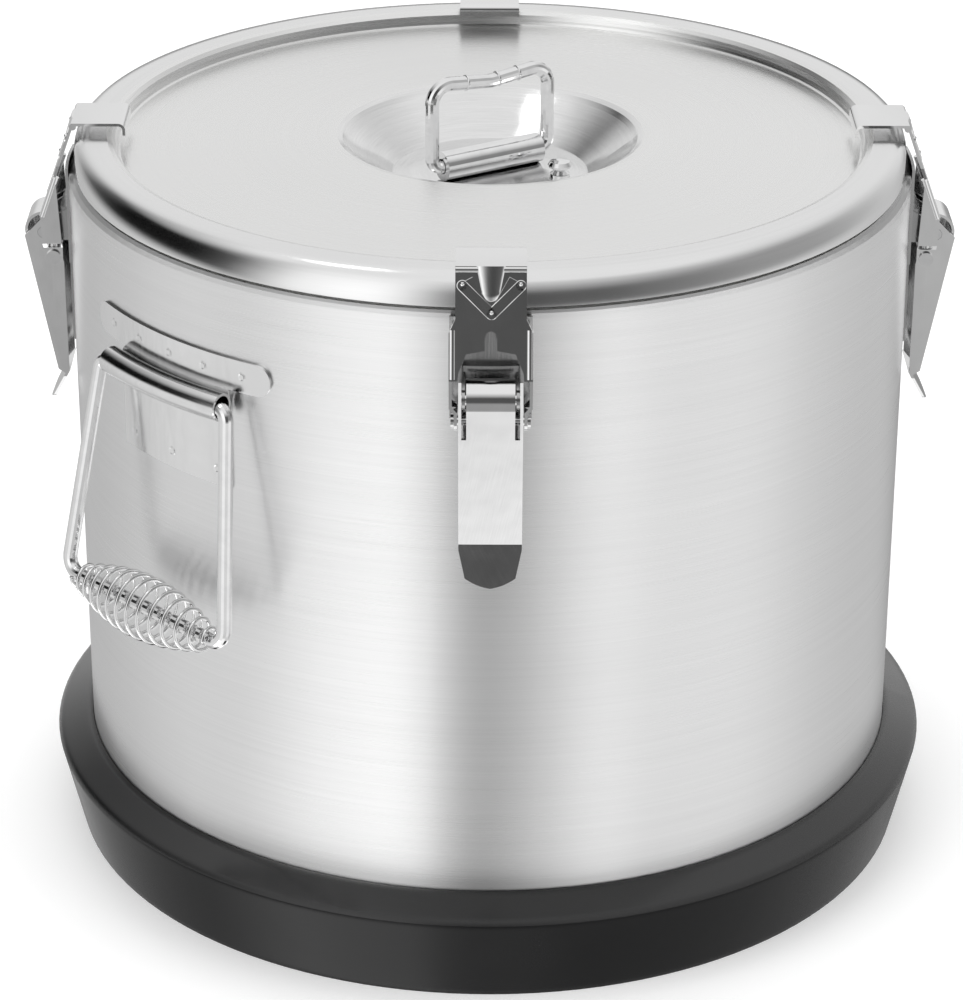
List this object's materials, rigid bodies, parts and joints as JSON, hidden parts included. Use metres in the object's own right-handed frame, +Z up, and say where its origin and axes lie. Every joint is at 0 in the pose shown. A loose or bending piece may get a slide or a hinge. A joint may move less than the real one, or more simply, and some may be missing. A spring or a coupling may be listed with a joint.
{
  "type": "insulated food container",
  "caption": "Double-walled steel food container on a rubber base ring, with a clamp-down lid, over-centre latches and wire bail handles.",
  "frame": {"origin": "centre of the base ring's underside", "axes": "+Z up, -Y towards the front latch, +X to its right seen from the front"},
  "size_m": [0.3996, 0.3996, 0.342],
  "materials": {
    "brushed_steel": "brushed",
    "pot_steel": "satin",
    "pressed_steel": "satin",
    "polished_steel": "polished",
    "black_rubber": "matte",
    "gasket_rubber": "matte",
    "foam": "matte"
  },
  "bodies": {
    "container": {"outer_shell": "brushed_steel", "inner_pot": "pot_steel", "insulation": "foam", "bottom_plate": "brushed_steel", "base_ring": "black_rubber", "latch_pins": "polished_steel", "latch_base_front": "pressed_steel", "latch_base_right": "pressed_steel", "latch_base_back": "pressed_steel", "latch_base_left": "pressed_steel", "handle_bracket_left": "brushed_steel", "handle_bracket_right": "brushed_steel"},
    "lid": {"lid_top": "brushed_steel", "lid_bottom": "brushed_steel", "lid_insulation": "foam", "lid_gasket": "gasket_rubber", "lid_handle_tube": "brushed_steel", "vent_bush": "polished_steel"},
    "lid_handle": {"lid_bail": "polished_steel"},
    "vent": {"vent_knob": "polished_steel"},
    "lever_front": {"latch_lever_front": "pressed_steel", "latch_rivet_front": "polished_steel"},
    "claw_front": {"latch_claw_front": "pressed_steel"},
    "lever_right": {"latch_lever_right": "pressed_steel", "latch_rivet_right": "polished_steel"},
    "claw_right": {"latch_claw_right": "pressed_steel"},
    "lever_back": {"latch_lever_back": "pressed_steel", "latch_rivet_back": "polished_steel"},
    "claw_back": {"latch_claw_back": "pressed_steel"},
    "lever_left": {"latch_lever_left": "pressed_steel", "latch_rivet_left": "polished_steel"},
    "claw_left": {"latch_claw_left": "pressed_steel"},
    "bail_left": {"bail_left": "polished_steel"},
    "grip_left": {"spring_grip_left": "polished_steel"},
    "bail_right": {"bail_right": "polished_steel"},
    "grip_right": {"spring_grip_right": "polished_steel"}
  },
  "joints": [
    {"name": "lid_lift", "type": "slide", "parent": "container", "child": "lid", "axis": [0, 0, 1], "range_m": [0, 0.018]},
    {"name": "lid_handle_swing", "type": "hinge", "parent": "lid", "child": "lid_handle", "pos_m": [0, 0, 0.30285], "axis": [0.8526, 0.5225, 0], "range_deg": [-75, 75]},
    {"name": "vent_lift", "type": "slide", "parent": "lid", "child": "vent", "axis": [0, 0, 1], "range_m": [0, 0.003]},
    {"name": "lever_front_swing", "type": "hinge", "parent": "container", "child": "lever_front", "pos_m": [0, -0.1915, 0.2725], "axis": [-1, 0, 0], "range_deg": [0, 35.2]},
    {"name": "claw_front_swing", "type": "hinge", "parent": "lever_front", "child": "claw_front", "pos_m": [0, -0.1875, 0.262], "axis": [1, 0, 0], "range_deg": [0, 140.5]},
    {"name": "lever_right_swing", "type": "hinge", "parent": "container", "child": "lever_right", "pos_m": [0.1915, 0, 0.2725], "axis": [0, -1, 0], "range_deg": [0, 35.2]},
    {"name": "claw_right_swing", "type": "hinge", "parent": "lever_right", "child": "claw_right", "pos_m": [0.1875, 0, 0.262], "axis": [0, 1, 0], "range_deg": [0, 140.5]},
    {"name": "lever_back_swing", "type": "hinge", "parent": "container", "child": "lever_back", "pos_m": [0, 0.1915, 0.2725], "axis": [1, 0, 0], "range_deg": [0, 35.2]},
    {"name": "claw_back_swing", "type": "hinge", "parent": "lever_back", "child": "claw_back", "pos_m": [0, 0.1875, 0.262], "axis": [-1, 0, 0], "range_deg": [0, 140.5]},
    {"name": "lever_left_swing", "type": "hinge", "parent": "container", "child": "lever_left", "pos_m": [-0.1915, 0, 0.2725], "axis": [0, 1, 0], "range_deg": [0, 35.2]},
    {"name": "claw_left_swing", "type": "hinge", "parent": "lever_left", "child": "claw_left", "pos_m": [-0.1875, 0, 0.262], "axis": [0, -1, 0], "range_deg": [0, 140.5]},
    {"name": "bail_left_swing", "type": "hinge", "parent": "container", "child": "bail_left", "pos_m": [-0.13167, -0.12939, 0.252], "axis": [-0.7009, 0.7133, 0], "range_deg": [-2, 130]},
    {"name": "grip_left_spin", "type": "hinge", "parent": "bail_left", "child": "grip_left", "pos_m": [-0.14184, -0.13939, 0.15656], "axis": [-0.7009, 0.7133, 0], "continuous": true},
    {"name": "bail_right_swing", "type": "hinge", "parent": "container", "child": "bail_right", "pos_m": [0.13167, 0.12939, 0.252], "axis": [0.7009, -0.7133, 0], "range_deg": [-2, 130]},
    {"name": "grip_right_spin", "type": "hinge", "parent": "bail_right", "child": "grip_right", "pos_m": [0.14184, 0.13939, 0.15656], "axis": [0.7009, -0.7133, 0], "continuous": true}
  ],
  "couplings": [
    {"joint": "lever_front_swing", "follows": "lid_lift", "rad_per_m": 33.937},
    {"joint": "claw_front_swing", "follows": "lid_lift", "rad_per_m": 135.75},
    {"joint": "lever_right_swing", "follows": "lid_lift", "rad_per_m": 33.937},
    {"joint": "claw_right_swing", "follows": "lid_lift", "rad_per_m": 135.75},
    {"joint": "lever_back_swing", "follows": "lid_lift", "rad_per_m": 33.937},
    {"joint": "claw_back_swing", "follows": "lid_lift", "rad_per_m": 135.75},
    {"joint": "lever_left_swing", "follows": "lid_lift", "rad_per_m": 33.937},
    {"joint": "claw_left_swing", "follows": "lid_lift", "rad_per_m": 135.75}
  ]
}
